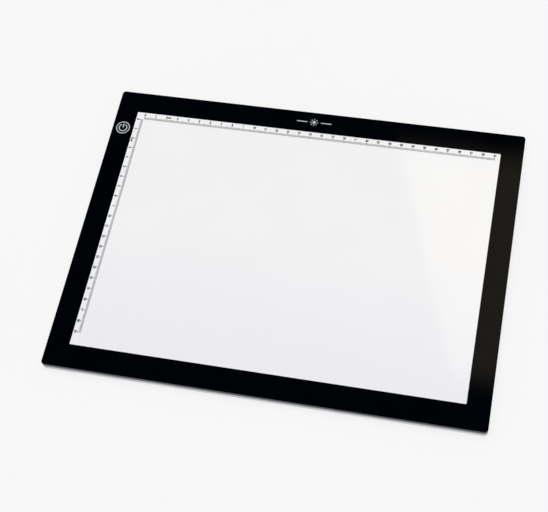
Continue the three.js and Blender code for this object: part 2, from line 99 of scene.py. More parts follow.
def arc_outline(centre, radius, width, start, end, steps=64):
    """The outline of an arc band with round ends. Angles are in degrees, counter-clockwise."""
    def points(middle, reach, first, last, count):
        for step in range(count + 1):
            angle = math.radians(first + (last - first) * step / count)
            yield middle[0] + reach * math.cos(angle), middle[1] + reach * math.sin(angle)

    def end_middle(angle):
        return (
            centre[0] + radius * math.cos(math.radians(angle)),
            centre[1] + radius * math.sin(math.radians(angle)),
        )

    outer = list(points(centre, radius + width / 2, start, end, steps))
    end_cap = list(points(end_middle(end), width / 2, end, end + 180, 8))[1:-1]
    inner = list(points(centre, radius - width / 2, end, start, steps))
    start_cap = list(points(end_middle(start), width / 2, start + 180, start + 360, 8))[1:-1]
    return outer + end_cap + inner + start_cap


def bar_outline(start, end, width, steps=8):
    """The outline of a straight bar with round ends between two points."""
    along = math.atan2(end[1] - start[1], end[0] - start[0])
    outline = []
    for middle, first in ((end, along - math.pi / 2), (start, along + math.pi / 2)):
        for step in range(steps + 1):
            angle = first + math.pi * step / steps
            outline.append((
                middle[0] + width / 2 * math.cos(angle),
                middle[1] + width / 2 * math.sin(angle),
            ))
    return outline


def disc_outline(centre, radius, steps=48):
    angles = [2 * math.pi * step / steps for step in range(steps)]
    return [(centre[0] + radius * math.cos(a), centre[1] + radius * math.sin(a)) for a in angles]


def finished_piece(name, mesh, material):
    """Turns a bmesh into a named piece that rides on the pad and takes its finish from a slot."""
    bmesh.ops.recalc_face_normals(mesh, faces=mesh.faces)
    data = bpy.data.meshes.new(name)
    mesh.to_mesh(data)
    mesh.free()
    data.materials.append(material)
    piece = bpy.data.objects.new(name, data)
    bpy.context.scene.collection.objects.link(piece)
    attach(piece, "root")
    return piece


# ---- Node helpers ----------------------------------------------------------------------------------


def paint(red, green, blue):
    """The linear colour of everyday red, green and blue values from 0 to 255."""
    def linear(value):
        share = value / 255
        return share / 12.92 if share <= 0.04045 else ((share + 0.055) / 1.055) ** 2.4

    return linear(red), linear(green), linear(blue), 1


class Nodes:
    """Short calls that add nodes to a node tree."""

    def __init__(self, tree):
        self.tree = tree

    def node(self, kind, **settings):
        made = self.tree.nodes.new(kind)
        for key, value in settings.items():
            setattr(made, key, value)
        return made

    def link(self, source, target):
        self.tree.links.new(source, target)

    def feed(self, socket, value):
        """Links a node's output to a socket, or sets a plain value on it."""
        if isinstance(value, bpy.types.NodeSocket):
            self.link(value, socket)
        else:
            socket.default_value = value

    def math(self, operation, first, second=0.0, clamp=False):
        made = self.node("ShaderNodeMath", operation=operation, use_clamp=clamp)
        self.feed(made.inputs[0], first)
        self.feed(made.inputs[1], second)
        return made.outputs[0]

    def dot(self, first, second):
        made = self.node("ShaderNodeVectorMath", operation="DOT_PRODUCT")
        self.feed(made.inputs[0], first)
        self.feed(made.inputs[1], second)
        return made.outputs["Value"]

    def span(self, value, low, high, to_low=0.0, to_high=1.0, smooth=False):
        """Maps a value from one range onto another."""
        made = self.node("ShaderNodeMapRange")
        made.interpolation_type = "SMOOTHSTEP" if smooth else "LINEAR"
        self.feed(made.inputs["Value"], value)
        made.inputs["From Min"].default_value = low
        made.inputs["From Max"].default_value = high
        made.inputs["To Min"].default_value = to_low
        made.inputs["To Max"].default_value = to_high
        return made.outputs["Result"]

    def mix(self, factor, first, second):
        """A colour between two colours."""
        made = self.node("ShaderNodeMix", data_type="RGBA")
        self.feed(made.inputs["Factor"], factor)
        self.feed(made.inputs[6], first)
        self.feed(made.inputs[7], second)
        return made.outputs[2]


class Finish(Nodes):
    """A material in the making, with a Principled shader that its nodes feed."""

    def __init__(self, name):
        self.material = bpy.data.materials.new(name)
        self.material.use_nodes = True
        super().__init__(self.material.node_tree)
        self.shader = self.tree.nodes["Principled BSDF"]
        self.place = self.node("ShaderNodeTexCoord").outputs["Object"]
        parts = self.node("ShaderNodeSeparateXYZ")
        self.link(self.place, parts.inputs[0])
        self.x, self.y, self.z = parts.outputs
        self.facing = self.node("ShaderNodeNewGeometry")

    def set(self, **values):
        """Sets plain values on the shader: metallic=1 sets Metallic."""
        for key, value in values.items():
            title = key.replace("_", " ").title().replace("Ior", "IOR")
            self.shader.inputs[title].default_value = value

    def stretched(self, stretch):
        made = self.node("ShaderNodeVectorMath", operation="MULTIPLY")
        self.link(self.place, made.inputs[0])
        made.inputs[1].default_value = stretch
        return made.outputs[0]

    def noise(self, size, detail=3.0, stretch=None):
        """Noise with features of the given size in metres, about 0.5 on average."""
        made = self.node("ShaderNodeTexNoise")
        self.link(self.stretched(stretch) if stretch else self.place, made.inputs["Vector"])
        made.inputs["Scale"].default_value = 1 / size
        made.inputs["Detail"].default_value = detail
        return made.outputs[0]

    def cells(self, size, randomness=1.0):
        """The distance to the middle of the nearest cell, for cells of the given size in metres."""
        made = self.node("ShaderNodeTexVoronoi")
        self.link(self.place, made.inputs["Vector"])
        made.inputs["Scale"].default_value = 1 / size
        made.inputs["Randomness"].default_value = randomness
        return made.outputs["Distance"]

    def blend(self, share, first, second):
        """Makes the surface a blend of two shaders, with the given share of the second."""
        made = self.node("ShaderNodeMixShader")
        self.link(share, made.inputs[0])
        self.link(first.outputs[0], made.inputs[1])
        self.link(second.outputs[0], made.inputs[2])
        self.link(made.outputs[0], self.tree.nodes["Material Output"].inputs["Surface"])

    def colour(self, value):
        self.feed(self.shader.inputs["Base Color"], value)

    def roughness(self, value):
        self.feed(self.shader.inputs["Roughness"], value)

    def bump(self, height, distance):
        made = self.node("ShaderNodeBump")
        made.inputs["Distance"].default_value = distance
        self.link(height, made.inputs["Height"])
        self.link(made.outputs[0], self.shader.inputs["Normal"])

    def facing_up(self):
        """The upward part of the surface's direction: 1 on a top face, 0 on a side."""
        return self.dot(self.facing.outputs["Normal"], (0, 0, 1))

    def worn_edges(self, radius):
        """0 on flat faces, rising to 1 along edges that the given radius would round off."""
        rounded = self.node("ShaderNodeBevel", samples=4)
        rounded.inputs["Radius"].default_value = radius
        return self.span(self.dot(rounded.outputs[0], self.facing.outputs["Normal"]), 1.0, 0.8)


def speckled(name, dark, light, patch, rough_low, rough_high, grain, depth, **values):
    """A moulded, painted or cast finish: its colour and gloss drift in patches over a fine grain."""
    finish = Finish(name)
    drift = finish.noise(patch, 3)
    texture = finish.noise(grain, 4)
    finish.colour(finish.mix(finish.span(drift, 0.3, 0.7), dark, light))
    finish.roughness(finish.span(texture, 0.3, 0.7, rough_low, rough_high))
    finish.bump(texture, depth)
    finish.set(**values)
    return finish.material


# ---- Finishes of the outside -----------------------------------------------------------------------


def clear_film():
    """Glossy hard-coated film: it mirrors the room a little, with smudges and hairlines, and lets
    everything else through."""
    finish = Finish("clear_film")
    smudge = finish.noise(38 * MM, 4)
    hairline = finish.noise(0.9 * MM, 2, (1.0, 0.12, 1.0))
    mirror = finish.node("ShaderNodeBsdfGlossy")
    finish.link(finish.span(smudge, 0.35, 0.75, 0.015, 0.05), mirror.inputs["Roughness"])
    scratches = finish.node("ShaderNodeBump")
    scratches.inputs["Strength"].default_value = 0.02
    scratches.inputs["Distance"].default_value = 0.02 * MM
    finish.link(hairline, scratches.inputs["Height"])
    finish.link(scratches.outputs[0], mirror.inputs["Normal"])
    clear = finish.node("ShaderNodeBsdfTransparent")
    fresnel = finish.node("ShaderNodeFresnel")
    fresnel.inputs["IOR"].default_value = 1.49
    # Only the outer side mirrors: the underside is laminated onto the print and the panel.
    not_below = finish.span(finish.facing_up(), -0.6, -0.4)
    outer = finish.math("SUBTRACT", not_below, finish.facing.outputs["Backfacing"])
    share = finish.math("MULTIPLY", fresnel.outputs[0], finish.math("MAXIMUM", outer, 0.0))
    finish.blend(share, clear, mirror)
    finish.tree.nodes.remove(finish.shader)
    return finish.material


def clear_acrylic():
    """Acrylic panel: clear in the window, and painted black on its top under the border and on its edges,
    standing in for the shade under the border and the black print that its edges mirror inside.
    """
    finish = Finish("clear_acrylic")
    # Painted shade and reflection: black where the clear, refracting panel shows only the shade under the
    # border and, in its edges, the mirrored black print.
    on_edge = finish.span(finish.math("ABSOLUTE", finish.facing_up()), 0.8, 0.6)
    fade = 0.2 * MM
    past_x = finish.span(finish.math("ABSOLUTE", finish.x), window_reach.x, window_reach.x + fade)
    past_y = finish.span(finish.math("ABSOLUTE", finish.y), window_reach.y, window_reach.y + fade)
    on_top = finish.span(finish.z, panel_low.z + fade, panel_high.z - fade)
    under_border = finish.math("MULTIPLY", on_top, finish.math("MAXIMUM", past_x, past_y))
    painted_dark = finish.math("MAXIMUM", on_edge, under_border)
    drift = finish.noise(18 * MM, 3)
    saw_lines = finish.noise(0.35 * MM, 3, (0.1, 0.1, 1.0))
    finish.colour(finish.mix(finish.span(drift, 0.3, 0.7), paint(8, 11, 22), paint(12, 15, 27)))
    finish.roughness(finish.span(saw_lines, 0.3, 0.7, 0.06, 0.14))
    finish.bump(saw_lines, 0.002 * MM)
    finish.set(ior=1.49, specular_ior_level=0.26)
    finish.blend(painted_dark, finish.node("ShaderNodeBsdfTransparent"), finish.shader)
    return finish.material


def border_ink():
    """Black screen ink under the film, faintly uneven where the ink lies thicker."""
    return speckled(
        "border_ink", paint(0, 1, 4), paint(1, 3, 7), 30 * MM, 0.35, 0.5, 0.4 * MM, 0.004 * MM,
        specular_ior_level=0.0,
    )


def ruler_ink(name, dark, light):
    """Dark ink of the scales, a little uneven in tone."""
    return speckled(
        name, dark, light, 3 * MM, 0.4, 0.6, 0.12 * MM, 0.004 * MM, specular_ior_level=0.2,
    )


def silver_ink():
    """Silver screen ink: fine flakes in a pale grey binder."""
    finish = Finish("silver_ink")
    flakes = finish.cells(0.11 * MM)
    finish.colour(finish.mix(finish.span(flakes, 0.1, 0.7), paint(226, 228, 233), paint(188, 190, 197)))
    finish.roughness(finish.span(flakes, 0.1, 0.7, 0.3, 0.5))
    finish.bump(flakes, 0.004 * MM)
    finish.set(metallic=0.2)
    return finish.material


def silver_plastic():
    """Silver lacquer on the moulded frame: a satin shimmer of fine flakes, rubbed brighter on its edges
    and greyed along the joint under the panel by painted shade from the panel's overhang and by dust."""
    finish = Finish("silver_plastic")
    drift = finish.noise(24 * MM, 3)
    flakes = finish.cells(0.09 * MM)
    grain = finish.noise(0.25 * MM, 4)
    lacquer = finish.mix(finish.span(drift, 0.3, 0.7), paint(182, 183, 190), paint(192, 193, 199))
    sparkle = finish.mix(finish.span(flakes, 0.05, 0.35, 0.25, 0.0), lacquer, paint(246, 247, 250))
    worn = finish.math("MULTIPLY", finish.worn_edges(0.25 * MM), finish.span(drift, 0.45, 0.65))
    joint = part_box("side_frame")[1].z
    # Painted shade: the lacquer greys upwards from 0.9 mm below the frame's top to 0.3 mm below it and
    # stays grey above, like the shade under the panel's edge.
    dust_and_painted_shade = finish.span(finish.z, joint - 0.9 * MM, joint - 0.3 * MM, 0.0, 0.45)
    finish.colour(finish.mix(dust_and_painted_shade, finish.mix(worn, sparkle, paint(232, 232, 233)), paint(74, 76, 88)))
    finish.roughness(finish.span(grain, 0.3, 0.7, 0.32, 0.44))
    finish.bump(grain, 0.006 * MM)
    finish.set(metallic=0.25)
    return finish.material


def pale_plastic():
    """Moulded rear cover: spark-eroded grain, faint flow marks and light scuffs."""
    finish = Finish("pale_plastic")
    grain = finish.noise(0.5 * MM, 5)
    pits = finish.cells(0.7 * MM)
    flow = finish.noise(60 * MM, 2, (0.4, 1.0, 1.0))
    scuff = finish.noise(7 * MM, 5, (0.2, 1.0, 1.0))
    base = finish.mix(finish.span(flow, 0.35, 0.65), paint(214, 215, 218), paint(222, 223, 225))
    scuffed = finish.span(scuff, 0.66, 0.74, 0.0, 0.35)
    finish.colour(finish.mix(scuffed, base, paint(192, 193, 196)))
    finish.roughness(finish.span(grain, 0.3, 0.7, 0.5, 0.68))
    relief = finish.math("ADD", grain, finish.math("MULTIPLY", pits, 0.6))
    finish.bump(relief, 0.03 * MM)
    return finish.material


def foot_rubber():
    """Grey rubber with a dusty bloom and scuffs on the face that stands on the table."""
    finish = Finish("foot_rubber")
    dust_and_painted_shade = finish.noise(1.6 * MM, 4)
    grain = finish.noise(0.3 * MM, 3)
    base = finish.mix(finish.span(dust_and_painted_shade, 0.35, 0.7), paint(70, 71, 74), paint(96, 96, 98))
    worn = finish.math("MULTIPLY", finish.span(finish.z, 0.2 * MM, 0.0), finish.span(dust_and_painted_shade, 0.4, 0.6))
    finish.colour(finish.mix(worn, base, paint(112, 111, 110)))
    finish.roughness(finish.span(grain, 0.3, 0.7, 0.75, 0.95))
    finish.bump(grain, 0.03 * MM)
    return finish.material


def screw_steel():
    """Nickel-plated screws: a fine grain, with patches of duller plating."""
    return speckled(
        "screw_steel", paint(168, 169, 172), paint(206, 207, 209), 1.1 * MM, 0.22, 0.42, 0.15 * MM,
        0.01 * MM, metallic=1,
    )


# ---- Finishes of the light stack -------------------------------------------------------------------


def opal_sheet():
    """Opal acrylic diffuser: milky white, with the glow of the lamps behind the back edge painted into
    its colour as a tone that greys towards the front.
    """
    finish = Finish("opal_sheet")
    cloud = finish.noise(55 * MM, 2)
    # Painted light: the colour is palest at the back and greyer towards the front, standing in for the
    # lamps' glow along the back edge.
    near_front = finish.span(finish.y, 5 * MM, -112 * MM)
    white = finish.mix(finish.span(cloud, 0.3, 0.7), paint(247, 247, 248), paint(249, 249, 250))
    finish.colour(finish.mix(near_front, white, paint(242, 241, 246)))
    grain = finish.noise(0.2 * MM, 3)
    finish.roughness(finish.span(grain, 0.3, 0.7, 0.16, 0.24))
    finish.bump(grain, 0.002 * MM)
    # The strong coat stands for the gloss of the sheet and of the panel's underside together.
    finish.set(coat_weight=1.0, coat_roughness=0.03, coat_ior=1.9)
    return finish.material


def prism_film():
    """Brightness film: a sheet of fine prisms that run along the long side."""
    finish = Finish("prism_film")
    ridges = finish.node("ShaderNodeTexWave", wave_type="BANDS", bands_direction="Y", wave_profile="TRI")
    finish.link(finish.place, ridges.inputs["Vector"])
    ridges.inputs["Scale"].default_value = 1 / (1.5 * MM)
    haze = finish.noise(20 * MM, 3)
    finish.colour(finish.mix(finish.span(haze, 0.3, 0.7), paint(224, 229, 233), paint(238, 241, 244)))
    finish.roughness(finish.span(haze, 0.3, 0.7, 0.15, 0.3))
    finish.bump(ridges.outputs["Fac"], 0.05 * MM)
    return finish.material


def guide_acrylic():
    """Light guide: clear acrylic with a faint green depth and a printed grid of white dots."""
    finish = Finish("guide_acrylic")
    dots = finish.cells(1.6 * MM, randomness=0.0)
    printed = finish.span(dots, 0.34, 0.26)
    depth = finish.noise(40 * MM, 2)
    clear = finish.mix(finish.span(depth, 0.3, 0.7), paint(214, 232, 232), paint(228, 240, 240))
    finish.colour(finish.mix(printed, clear, paint(250, 250, 250)))
    finish.roughness(finish.span(printed, 0.0, 1.0, 0.06, 0.5))
    finish.bump(printed, 0.01 * MM)
    finish.set(ior=1.49)
    return finish.material


def white_film():
    """White reflector film with a soft paper-like unevenness."""
    return speckled(
        "white_film", paint(243, 243, 244), paint(251, 251, 251), 15 * MM, 0.4, 0.55, 0.3 * MM, 0.01 * MM,
    )


def lamp_strip():
    """White circuit strip: each lamp on it has a yellow phosphor window in its front face."""
    finish = Finish("lamp_strip")
    strip_low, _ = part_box("led_strip")
    lamp_count = 45
    lamp_width = 3 * MM
    reach = window_reach.x
    pitch = (2 * reach - lamp_width) / (lamp_count - 1)
    along = finish.math("ADD", finish.x, reach - lamp_width / 2 + pitch / 2)
    from_middle = finish.math("ABSOLUTE", finish.math(
        "SUBTRACT", finish.math("MODULO", finish.math("ADD", along, pitch), pitch), pitch / 2,
    ))
    in_width = finish.span(from_middle, 1.15 * MM, 1.05 * MM)
    middle_height = (guide_low.z + guide_high.z) / 2
    from_height = finish.math("ABSOLUTE", finish.math("SUBTRACT", finish.z, middle_height))
    in_height = finish.span(from_height, 0.5 * MM, 0.42 * MM)
    in_front = finish.span(finish.y, strip_low.y + 0.12 * MM, strip_low.y + 0.06 * MM)
    window = finish.math("MULTIPLY", finish.math("MULTIPLY", in_width, in_height), in_front)
    mottle = finish.noise(0.5 * MM, 3)
    white = finish.mix(finish.span(mottle, 0.3, 0.7), paint(234, 232, 222), paint(245, 243, 236))
    phosphor = finish.mix(finish.span(mottle, 0.3, 0.7), paint(226, 186, 52), paint(240, 206, 84))
    finish.colour(finish.mix(window, white, phosphor))
    finish.roughness(finish.span(mottle, 0.3, 0.7, 0.35, 0.55))
    finish.bump(mottle, 0.008 * MM)
    return finish.material


def brushed_aluminium():
    """Aluminium strip with the long brush lines of rolled sheet."""
    finish = Finish("brushed_aluminium")
    lines = finish.noise(0.16 * MM, 3, (0.02, 1.0, 1.0))
    drift = finish.noise(12 * MM, 2)
    finish.colour(finish.mix(finish.span(drift, 0.3, 0.7), paint(184, 187, 190), paint(206, 208, 211)))
    finish.roughness(finish.span(lines, 0.3, 0.7, 0.25, 0.5))
    finish.bump(lines, 0.01 * MM)
    finish.set(metallic=1, anisotropic=0.5)
    return finish.material


def dark_foam():
    """Open-cell foam: dark walls round small pores."""
    finish = Finish("dark_foam")
    pores = finish.cells(0.35 * MM)
    finish.colour(finish.mix(finish.span(pores, 0.15, 0.55), paint(30, 30, 32), paint(64, 64, 67)))
    finish.roughness(finish.span(pores, 0.1, 0.6, 0.85, 1.0))
    finish.bump(pores, 0.1 * MM)
    return finish.material


def black_tape():
    """Double-sided tape: black carrier with trapped bubbles along it."""
    finish = Finish("black_tape")
    bubbles = finish.cells(1.7 * MM)
    weave = finish.noise(0.3 * MM, 3)
    finish.colour(finish.mix(finish.span(bubbles, 0.12, 0.22), paint(42, 42, 45), paint(18, 18, 20)))
    finish.roughness(finish.span(weave, 0.3, 0.7, 0.55, 0.85))
    finish.bump(weave, 0.01 * MM)
    return finish.material


# ---- Finishes of the electronics -------------------------------------------------------------------


def green_circuit():
    """Green solder mask over copper tracks, with a glass-fibre edge."""
    finish = Finish("green_circuit")
    tracks = finish.node("ShaderNodeTexBrick", offset=0.37, squash=0.7)
    finish.link(finish.place, tracks.inputs["Vector"])
    tracks.inputs["Scale"].default_value = 1 / (2.6 * MM)
    tracks.inputs["Mortar Size"].default_value = 0.07
    tracks.inputs["Mortar Smooth"].default_value = 0.3
    mottle = finish.noise(0.8 * MM, 4)
    mask = finish.mix(finish.span(mottle, 0.3, 0.7), paint(24, 98, 54), paint(32, 116, 66))
    raised = finish.math("SUBTRACT", 1.0, tracks.outputs["Fac"])
    surface = finish.mix(finish.span(raised, 0.2, 0.8), paint(52, 142, 84), mask)
    thickness = board_high.z - board_low.z
    above_core = finish.span(finish.z, board_low.z + 0.9 * thickness, board_low.z + 0.95 * thickness)
    below_core = finish.span(finish.z, board_low.z + 0.1 * thickness, board_low.z + 0.05 * thickness)
    on_face = finish.math("ADD", above_core, below_core, clamp=True)
    fibre = finish.mix(finish.span(mottle, 0.3, 0.7), paint(168, 160, 112), paint(190, 182, 136))
    finish.colour(finish.mix(on_face, fibre, surface))
    finish.roughness(finish.span(mottle, 0.3, 0.7, 0.28, 0.45))
    finish.bump(tracks.outputs["Fac"], 0.03 * MM)
    return finish.material


def spring_steel():
    """Gold-tinted plating of the touch spring and the socket's contacts."""
    return speckled(
        "spring_steel", paint(186, 160, 96), paint(220, 196, 132), 0.8 * MM, 0.2, 0.38, 0.1 * MM,
        0.006 * MM, metallic=1,
    )


def chip_surface(node, body_half_width):
    """Black moulded chip with tinned legs: the legs are what stands out past the moulded body."""
    finish = Finish(node + "_surface")
    low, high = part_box(node)
    from_middle = finish.math("ABSOLUTE", finish.math("SUBTRACT", finish.x, (low.x + high.x) / 2))
    leg = finish.span(from_middle, body_half_width, body_half_width + 0.02 * MM)
    grain = finish.noise(0.12 * MM, 3)
    black = finish.mix(finish.span(grain, 0.3, 0.7), paint(22, 22, 24), paint(36, 36, 38))
    tin = finish.mix(finish.span(grain, 0.3, 0.7), paint(186, 188, 190), paint(214, 215, 216))
    finish.colour(finish.mix(leg, black, tin))
    finish.roughness(finish.span(grain, 0.3, 0.7, 0.45, 0.65))
    finish.feed(finish.shader.inputs["Metallic"], leg)
    finish.bump(grain, 0.01 * MM)
    return finish.material


def dark_moulding():
    """Heat-resistant black nylon of the socket tongue."""
    return speckled(
        "dark_moulding", paint(20, 20, 22), paint(38, 38, 40), 1.2 * MM, 0.4, 0.6, 0.15 * MM, 0.01 * MM,
    )


def ferrite():
    """Pressed ferrite: dark grey, matt and slightly gritty."""
    return speckled(
        "ferrite", paint(54, 54, 57), paint(78, 78, 80), 0.5 * MM, 0.55, 0.8, 0.1 * MM, 0.03 * MM,
    )


def capacitor_ceramic():
    """Tan ceramic body between two tinned end caps."""
    finish = Finish("capacitor_ceramic")
    low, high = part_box("filter_capacitor")
    from_middle = finish.math("ABSOLUTE", finish.math("SUBTRACT", finish.y, (low.y + high.y) / 2))
    cap = finish.span(from_middle, 0.98 * MM, 1.0 * MM)
    grain = finish.noise(0.2 * MM, 3)
    tan = finish.mix(finish.span(grain, 0.3, 0.7), paint(158, 124, 84), paint(182, 148, 106))
    tin = finish.mix(finish.span(grain, 0.3, 0.7), paint(184, 186, 188), paint(212, 213, 214))
    finish.colour(finish.mix(cap, tan, tin))
    finish.roughness(finish.span(grain, 0.3, 0.7, 0.35, 0.5))
    finish.feed(finish.shader.inputs["Metallic"], cap)
    finish.bump(grain, 0.01 * MM)
    return finish.material


def tin_plate():
    """Stamped and tinned socket shell: bright plating with a fine grain."""
    return speckled(
        "tin_plate", paint(176, 178, 180), paint(212, 213, 215), 1.5 * MM, 0.2, 0.4, 0.2 * MM, 0.008 * MM,
        metallic=1,
    )


def white_nylon():
    """Plain white connector nylon."""
    return speckled(
        "white_nylon", paint(228, 225, 214), paint(240, 238, 229), 1.5 * MM, 0.4, 0.55, 0.2 * MM,
        0.01 * MM,
    )


def wire_cover(name, dark, light):
    """Soft PVC insulation, slightly uneven in colour."""
    return speckled(name, dark, light, 2 * MM, 0.35, 0.5, 0.25 * MM, 0.01 * MM)


# ---- CAD nodes -------------------------------------------------------------------------------------

# Nodes wider than this are broad sheets, whose faces stay flat up to the broken edge.
SHEET_WIDTH = 250 * MM
SHEET_SMOOTHING = 20
PIECE_SMOOTHING = 32


def weld_and_smooth(limit):
    """Nodes that weld a CAD mesh and shade its edges up to a limit in degrees smooth."""
    group = bpy.data.node_groups.new("weld_and_smooth", "GeometryNodeTree")
    group.interface.new_socket("Geometry", in_out="INPUT", socket_type="NodeSocketGeometry")
    group.interface.new_socket("Geometry", in_out="OUTPUT", socket_type="NodeSocketGeometry")
    start = group.nodes.new("NodeGroupInput")
    weld = group.nodes.new("GeometryNodeMergeByDistance")
    weld.inputs["Distance"].default_value = 0.004 * MM
    plain = group.nodes.new("GeometryNodeRemoveAttribute")
    plain.inputs["Name"].default_value = "custom_normal"
    faces = group.nodes.new("GeometryNodeSetShadeSmooth")
    faces.domain = "FACE"
    edges = group.nodes.new("GeometryNodeSetShadeSmooth")
    edges.domain = "EDGE"
    angle = group.nodes.new("GeometryNodeInputMeshEdgeAngle")
    gentle = group.nodes.new("FunctionNodeCompare")
    gentle.operation = "LESS_THAN"
    gentle.inputs[1].default_value = math.radians(limit)
    end = group.nodes.new("NodeGroupOutput")
    group.links.new(start.outputs[0], weld.inputs["Geometry"])
    group.links.new(weld.outputs[0], plain.inputs["Geometry"])
    group.links.new(plain.outputs[0], faces.inputs["Geometry"])
    group.links.new(faces.outputs[0], edges.inputs["Geometry"])
    group.links.new(angle.outputs["Unsigned Angle"], gentle.inputs[0])
    group.links.new(gentle.outputs[0], edges.inputs["Shade Smooth"])
    group.links.new(edges.outputs[0], end.inputs[0])
    return group


def dress_nodes(nodes, finishes):
    """Gives every CAD node its finish, by the longest matching start of its name, and smooth shading."""
    for_sheets = weld_and_smooth(SHEET_SMOOTHING)
    for_small_pieces = weld_and_smooth(PIECE_SMOOTHING)
    for name, node in nodes.items():
        matches = [start for start in finishes if name.startswith(start)]
        node.data.materials[0] = finishes[max(matches, key=len)]
        low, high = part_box(name)
        is_sheet = high.x - low.x > SHEET_WIDTH
        modifier = node.modifiers.new("weld_and_smooth", "NODES")
        modifier.node_group = for_sheets if is_sheet else for_small_pieces


# ---- Printing on the panel -------------------------------------------------------------------------

LINE_WIDTH = 0.2 * MM
TICK_WIDTH = 0.42 * MM
NUMERAL_SIZE = 2.6 * MM
NUMERAL_BOLDNESS = 0.18 * MM
UNIT_SIZE = 2.5 * MM
# From the middle of the numeral 2 to the unit beside it.
UNIT_GAP = 0.9 * MM
BACK_CENTIMETRES = 31
LEFT_CENTIMETRES = 21

KEY_RING_RADIUS = 5.85 * MM
KEY_RING_WIDTH = 0.85 * MM
KEY_ARC_RADIUS = 3.45 * MM
KEY_ARC_ENDS = (125, 415)
KEY_BAR_ENDS = (0.5 * MM, 3.9 * MM)
KEY_STROKE = 0.95 * MM

# The middle of the sun mark, along X and from the window's back edge.
SUN_PLACE = (-2.5 * MM, 10.3 * MM)
SUN_RADIUS = 1.45 * MM
SUN_RAYS = 8
SUN_RAY_ENDS = (2.45 * MM, 3.45 * MM)
SUN_RAY_WIDTH = 0.6 * MM
SUN_BAR_ENDS = (6.3 * MM, 15 * MM)
SUN_BAR_WIDTH = 0.8 * MM


def comb_outline(millimetres, short, medium, tall):
    """A ruler's scale as one outline: a base line along X from 0 with a tick up at every millimetre."""
    half = TICK_WIDTH / 2
    outline = [(-half, 0), (millimetres * MM + half, 0)]
    for mark in range(millimetres, -1, -1):
        height = tall if mark % 10 == 0 else medium if mark % 5 == 0 else short
        outline.append((mark * MM + half, height))
        outline.append((mark * MM - half, height))
        if mark:
            outline.append((mark * MM - half, LINE_WIDTH))
            outline.append(((mark - 1) * MM + half, LINE_WIDTH))
    return outline


def text_mesh(text, size, align):
    """A closed flat mesh of some text in Blender's own font, standing on the X axis at 0."""
    curve = bpy.data.curves.new("numeral", "FONT")
    curve.body = text
    curve.size = size
    curve.align_x = align
    curve.align_y = "CENTER"
    curve.resolution_u = 3
    curve.extrude = (INK_TOP - INK_BOTTOM) / 2
    curve.offset = NUMERAL_BOLDNESS
    letters = bpy.data.objects.new("numeral", curve)
    bpy.context.scene.collection.objects.link(letters)
    evaluated = letters.evaluated_get(bpy.context.evaluated_depsgraph_get())
    mesh = bpy.data.meshes.new_from_object(evaluated)
    bpy.data.objects.remove(letters)
    return mesh


def add_text(target, text, size, place, align="CENTER"):
    """Adds text to a bmesh at a place given as a matrix."""
    mesh = text_mesh(text, size, align)
    mesh.transform(place)
    target.from_mesh(mesh)
    bpy.data.meshes.remove(mesh)


def ruler(name, centimetres, start, angle, side, tick_heights, numeral_height, inks):
    """One printed scale that runs from its start at an angle in degrees: ticks and base line are one
    piece, numerals and unit another. With side 1 they stand on its left, with -1 on its right."""
    middle = (INK_TOP + INK_BOTTOM) / 2
    turned = Matrix.Translation((*start, middle)) @ Matrix.Rotation(math.radians(angle), 4, "Z")
    scale = bmesh.new()
    comb = comb_outline(10 * centimetres, *tick_heights)
    add_prism(scale, comb, INK_BOTTOM - middle, INK_TOP - middle)
    scale.transform(turned @ Matrix.Scale(side, 4, Vector((0, 1, 0))))
    finished_piece(name + "_scale", scale, inks[0])
    numerals = bmesh.new()
    for centimetre in range(centimetres + 1):
        spot = Matrix.Translation((centimetre * 10 * MM, side * numeral_height, 0))
        add_text(numerals, str(centimetre), NUMERAL_SIZE, turned @ spot)
    beside_two = Matrix.Translation((20 * MM + UNIT_GAP, side * numeral_height, 0))
    add_text(numerals, "cm", UNIT_SIZE, turned @ beside_two, "LEFT")
    bmesh.ops.remove_doubles(numerals, verts=numerals.verts, dist=0.001 * MM)
    finished_piece(name + "_numerals", numerals, inks[1])


def rulers():
    """31 cm along the back of the window and 21 cm down its left, both numbered from the back left."""
    inks = (
        ruler_ink("scale_ink", paint(36, 36, 40), paint(56, 56, 60)),
        ruler_ink("numeral_ink", paint(8, 8, 12), paint(20, 20, 24)),
    )
    back_start = (-window_reach.x + 7.4 * MM, window_reach.y - 6.85 * MM)
    back_ticks = (2.1 * MM, 2.5 * MM, 3.6 * MM)
    ruler("back_ruler", BACK_CENTIMETRES, back_start, 0, 1, back_ticks, 4.5 * MM, inks)
    left_start = (-window_reach.x + 6.5 * MM, window_reach.y - 7.45 * MM)
    left_ticks = (2.0 * MM, 2.4 * MM, 3.5 * MM)
    ruler("left_ruler", LEFT_CENTIMETRES, left_start, -90, -1, left_ticks, 4.75 * MM, inks)


def silver_print(name, *outlines):
    """One piece of silver print from one or more flat outlines."""
    mesh = bmesh.new()
    for outline in outlines:
        add_prism(mesh, outline, INK_BOTTOM, INK_TOP)
    finished_piece(name, mesh, silver)


def power_mark():
    """The touch key's mark: a ring round the usual on-off sign."""
    centre = (spring_low.xy + spring_high.xy) / 2
    ring = bmesh.new()
    add_ring(ring, centre, KEY_RING_RADIUS, KEY_RING_WIDTH, INK_BOTTOM, INK_TOP)
    finished_piece("power_mark_ring", ring, silver)
    silver_print("power_mark_arc", arc_outline(centre, KEY_ARC_RADIUS, KEY_STROKE, *KEY_ARC_ENDS))
    ends = [centre + Vector((0, height)) for height in KEY_BAR_ENDS]
    silver_print("power_mark_bar", bar_outline(*ends, KEY_STROKE))


